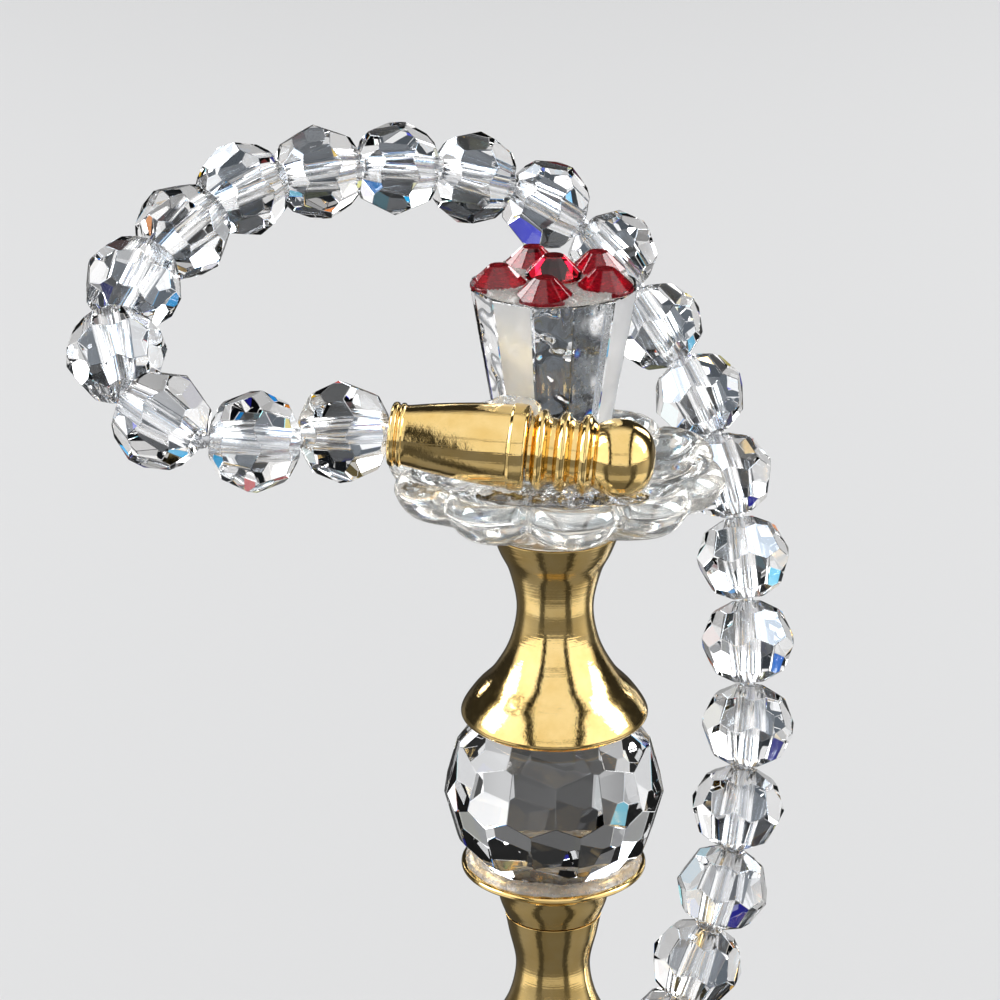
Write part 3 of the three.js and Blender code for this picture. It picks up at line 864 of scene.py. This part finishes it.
def add_barrel(start, direction, slanted_gilt):
    """The tapered barrel that the hose starts in, with two rings round its end."""
    outline = [
        (0, 0),
        (1.16, 0),
        *smooth([(1.24, 0.05), (1.28, 0.13), (1.27, 0.24), (1.19, 0.3)], 4),
        *smooth([(1.19, 0.34), (1.26, 0.4), (1.27, 0.5), (1.2, 0.57)], 4),
        *smooth([(1.2, 0.62), (1.41, 1.9), (1.6, 3.5), (1.66, 4.72)]),
        *smooth([
            (1.67, 4.76),
            (1.73, 4.86),
            (1.73, 5.0),
            (1.72, 5.28),
            (1.68, 5.4),
            (1.58, BARREL_LENGTH),
        ], 4),
        (0, BARREL_LENGTH),
    ]
    plug_radius, plug_depth = 0.85, 1.5
    socket = cylinder(SOCKET_RADIUS, -1, SOCKET_DEPTH)
    plug_room = cylinder(plug_radius, BARREL_LENGTH - plug_depth, BARREL_LENGTH + 1)
    shape = set_in_place(carved(turned(eased(outline)), socket, plug_room), start, direction)
    new_piece("turned_barrel", shape, [slanted_gilt], "mouthpiece_barrel")


def add_tip(start, direction, slanted_gilt):
    """The mouthpiece's tip: a plug that sits in the barrel, three ridges and a rounded end."""
    plug_radius, plug_length = 0.8, 1.3
    ridges = []
    for height in (0.5, 1.38, 2.26):
        ridges += smooth([
            (1.3, height - 0.34),
            (1.5, height - 0.2),
            (1.6, height - 0.04),
            (1.58, height + 0.1),
            (1.4, height + 0.24),
            (1.3, height + 0.36),
        ], 5)
    dome = smooth([
        (1.24, 2.62),
        (1.36, 2.8),
        (1.52, 3.2),
        (1.56, 3.62),
        (1.48, 4.08),
        (1.26, 4.5),
        (0.92, 4.8),
        (0.5, 4.96),
    ], 7)
    outline = [
        (0, -plug_length),
        (plug_radius, -plug_length),
        (plug_radius, 0),
        (1.3, 0),
        *ridges,
        *dome,
        (0, 5),
    ]
    shape = set_in_place(turned(eased(outline)), start, direction)
    new_piece("turned_tip", shape, [slanted_gilt], "mouthpiece_tip")


def elbow_path(root, knee, rise, neck, count=24):
    """A Bezier curve that leaves the root towards the knee and comes to the neck from the rise."""
    path = []
    for k in range(count + 1):
        t = k / count
        low, high = root.lerp(knee, t), knee.lerp(rise, t)
        path.append(low.lerp(high, t).lerp(high.lerp(rise.lerp(neck, t), t), t))
    return path


def add_port():
    """The elbow that the hose ends in, with a ferrule at its mouth."""
    _, centre, axis = bead_places()[-1]
    mouth = centre + axis * (BEAD_HALF + GAP)
    outward = -axis
    level = collar_seat() + PORT_LEVEL
    away = Vector((mouth.x, mouth.y, 0)).normalized()
    root_reach, knee_reach = 1.9, 3.9  # from the stem's axis
    rise_length, neck_length = 1.4, 0.2  # back from the mouth
    elbow_radius = 0.95
    root = away * root_reach + Vector((0, 0, level))
    knee = away * knee_reach + Vector((0, 0, level))
    rise = mouth - outward * rise_length
    neck = mouth - outward * neck_length
    elbow = sweep(elbow_path(root, knee, rise, neck), elbow_radius)
    ferrule_outline = [
        (0, -0.75),
        (0.98, -0.75),
        *smooth([(1.1, -0.68), (1.15, -0.6), (1.1, -0.5), (1.03, -0.44), (1.1, -0.38), (1.15, -0.28)], 4),
        (1.15, -0.08),
        (1.08, 0),
        (0, 0),
    ]
    ferrule = set_in_place(turned(ferrule_outline, BORE_SIDES * 2), mouth, outward)
    bore_depth = 1.6
    collar_neck = 2.44  # radius of the room for the collar
    bore = set_in_place(cylinder(SOCKET_RADIUS, -bore_depth, 1), mouth, outward)
    neck_room = cylinder(collar_neck, level - 3, level + 3, TURNED_SIDES)
    shape = carved(combined(elbow, ferrule, "UNION"), bore, neck_room)
    new_piece("swept_port", shape, [gilt], "hose_port")
    add_crimp("port", mouth - outward * CRIMP_DEPTH, outward, gilt)


def add_hose():
    """The mouthpiece, the beads, the wire through them and the port that the wire ends in."""
    tip = middle("mouthpiece_tip")
    barrel = middle("mouthpiece_barrel")
    direction = (tip - barrel).normalized()
    nearest = min((p - barrel).dot(direction) for p in points_mm("mouthpiece_barrel"))
    start = barrel + direction * nearest
    lie = UP.rotation_difference(direction).inverted().to_euler()
    slanted_gilt = gilt_material("gilt_slanted", tuple(lie))
    add_barrel(start, direction, slanted_gilt)
    add_tip(start + direction * (BARREL_LENGTH + GAP), direction, slanted_gilt)
    add_crimp("mouthpiece", start + direction * (SOCKET_DEPTH - CRIMP_DEPTH), direction, slanted_gilt)
    add_beads()
    add_wire(start, direction)
    add_port()


# ---- adhesive ----
def add_bowl_glue(bowl_foot):
    """A fillet of clear adhesive round the bowl's foot."""
    section = [(1.6, 0.02), (3, 0.02), (2.75, 0.2), (2.42, 0.5), (2.26, 0.95), (2.1, 0.5), (1.6, 0.02)]
    ring = lumpy(turned(smooth(section, 6)[:-1], 96, looped=True), size=0.9, depth=0.1, seed=3)
    set_in_place(ring, bowl_foot)
    new_piece("glue_bowl", ring, [glue], crease=ROUNDED)


def add_stone_glue(bowl_top):
    """A film on top of the bowl, which climbs the sides of the stones."""
    thickness = 0.06
    climb, climb_width = 0.24, 0.16
    unevenness, lump_size = 0.04, 0.4
    stones = [sum(box_mm(node), Vector()) / 2 for node in frame["nodes"] if node.startswith("stone_")]
    across = [(0, thickness), (1, thickness), (2, thickness), (2.9, thickness), (3.2, 0)]
    film = turned([*smooth(across, 9), (0, 0)], 160)
    for vertex in film.verts:
        if vertex.co.z > thickness / 2:
            place = vertex.co + bowl_top
            away = min(abs((place - stone).to_2d().length - STONE_RADIUS) for stone in stones)
            uneven = unevenness * noise.noise(vertex.co / lump_size)
            vertex.co.z += climb * math.exp(-away / climb_width) + uneven
    set_in_place(film, bowl_top)
    new_piece("glue_stones", film, [cloudy_glue], crease=ROUNDED)


def add_cup_glue():
    """A bead of cloudy adhesive round the crystal ball, in the cup."""
    section = [(3.1, 2.3), (3.5, 2.38), (3.74, 2.44), (3.6, 2.6), (3.38, 2.74), (3.1, 2.7), (3.1, 2.3)]
    ring = lumpy(turned(smooth(section, 5)[:-1], 160, looped=True), size=0.6, depth=0.09, seed=7)
    set_in_place(ring, (0, 0, box_mm("ball_cup")[0].z))
    new_piece("glue_cup", ring, [cloudy_glue], crease=ROUNDED)


def add_blob(name, centre, size, seed):
    """A set lump of clear adhesive. centre is from the middle of the dish's rim; size is its half-widths."""
    shape = bmesh.new()
    bmesh.ops.create_icosphere(shape, subdivisions=5, radius=1)
    bmesh.ops.scale(shape, vec=size, verts=shape.verts)
    shape.normal_update()
    lumpy(shape, size=0.8, depth=0.14, seed=seed)
    set_in_place(shape, Vector(centre) + Vector((0, 0, rim_height)))
    new_piece(name, shape, [glue], crease=ROUNDED)


def add_glue():
    """Adhesive round the bowl's foot, between the stones, round the ball and along the mouthpiece."""
    film_gap = 0.02
    bowl_low, bowl_high = box_mm("bowl")
    centre = Vector(((bowl_low.x + bowl_high.x) / 2, 0, 0))
    add_bowl_glue(centre + Vector((0, 0, bowl_low.z)))
    add_stone_glue(centre + Vector((0, 0, bowl_high.z + film_gap)))
    add_cup_glue()
    add_blob("glue_mouthpiece_front", centre=(0.2, -4.7, 0.05), size=(3.4, 1.25, 0.42), seed=5)
    add_blob("glue_mouthpiece_back", centre=(-1.9, -2.9, 3.05), size=(1.3, 0.62, 0.5), seed=9)


# ---- stage ----
def add_floor():
    half = 1.5  # metres
    corners = [(-half, -half, 0), (half, -half, 0), (half, half, 0), (-half, half, 0)]
    mesh = bpy.data.meshes.new("floor")
    mesh.from_pydata(corners, [], [(0, 1, 2, 3)])
    mesh.materials.append(floor_material())
    floor = bpy.data.objects.new("floor", mesh)
    bpy.context.scene.collection.objects.link(floor)


def add_light(name, place, size, power):
    """A soft rectangular light that faces the object; place and size in metres, and power in watts."""
    target = Vector((0, 0, 0.045))
    data = bpy.data.lights.new(name, "AREA")
    data.shape = "RECTANGLE"
    data.size, data.size_y = size
    data.energy = power
    light = bpy.data.objects.new(name, data)
    light.location = place
    light.rotation_euler = (target - Vector(place)).to_track_quat("-Z", "Y").to_euler()
    light.visible_camera = False
    bpy.context.scene.collection.objects.link(light)


def add_lights():
    add_light("left", (-0.45, 0.02, 0.36), size=(0.22, 0.4), power=1.7)
    add_light("right", (0.45, 0.02, 0.33), size=(0.2, 0.36), power=1.4)
    add_light("back_left", (-0.3, 0.42, 0.3), size=(0.12, 0.34), power=0.7)
    add_light("back_right", (0.3, 0.4, 0.24), size=(0.12, 0.3), power=0.7)


def add_world():
    """The studio round the object. The camera and matt surfaces see it plain. Light that leaves the crystal
    sees the edges in it split into colours, as a prism splits them, and sees it dimmer near the floor."""
    plain_grey = (0.225, 0.23, 0.24, 1)
    edge_shifts = {"Red": 0.03, "Green": 0.07, "Blue": 0.11}
    world = bpy.data.worlds.new("studio")
    bpy.context.scene.world = world
    world.use_nodes = True
    tree = world.node_tree
    direction = tree.nodes.new("ShaderNodeTexCoord").outputs["Generated"]
    path = tree.nodes.new("ShaderNodeLightPath").outputs
    in_crystal = path["Is Transmission Ray"]
    low_dimming = ranged(tree, split_vector(tree, direction)["Z"], (0, 0.45), (0.55, 1))
    dimmed = blended(tree, in_crystal, 1, low_dimming)
    studio_colour = tree.nodes.new("ShaderNodeCombineColor")
    for channel, edge_shift in edge_shifts.items():
        shift = math_node(tree, "MULTIPLY", in_crystal, edge_shift)
        brightness = studio_brightness(tree, direction, in_crystal, STUDIO_ROUND, shift)
        tree.links.new(math_node(tree, "MULTIPLY", brightness, dimmed), studio_colour.inputs[channel])
    plain = math_node(tree, "MAXIMUM", path["Is Camera Ray"], path["Is Diffuse Ray"])
    shown = tree.nodes.new("ShaderNodeMix")
    shown.data_type = "RGBA"
    colour_a, colour_b, colour_result = 6, 7, 2  # the places of its colour sockets
    tree.links.new(plain, shown.inputs["Factor"])
    tree.links.new(studio_colour.outputs["Color"], shown.inputs[colour_a])
    shown.inputs[colour_b].default_value = plain_grey
    tree.links.new(shown.outputs[colour_result], tree.nodes["Background"].inputs["Color"])


def add_camera():
    """Looks from the front and a little above, with the dish's rim up and right of the picture's middle."""
    rise = math.radians(20.5)
    distance = 138.2  # millimetres, to the level of the rim's middle
    rim_right, rim_up = 2.276, 1.789  # where the rim's middle is from the picture's middle
    forward = Vector((0, math.cos(rise), -math.sin(rise)))
    up = Vector((0, math.sin(rise), math.cos(rise)))
    rim = Vector((0, 0, rim_height))
    place = rim - Vector((rim_right, 0, 0)) - up * rim_up - forward * distance
    data = bpy.data.cameras.new("camera")
    data.lens = 122.4
    data.sensor_width = 36
    camera = bpy.data.objects.new("camera", data)
    camera.location = place * MM
    camera.rotation_euler = (math.pi / 2 - rise, 0, 0)
    bpy.context.scene.collection.objects.link(camera)
    bpy.context.scene.camera = camera


add_camera()
add_floor()
add_lights()
add_world()
add_base()
add_collar()
add_stem()
add_dish()
add_bowl()
add_stones()
add_hose()
add_glue()
bpy.context.scene.view_settings.view_transform = "Standard"
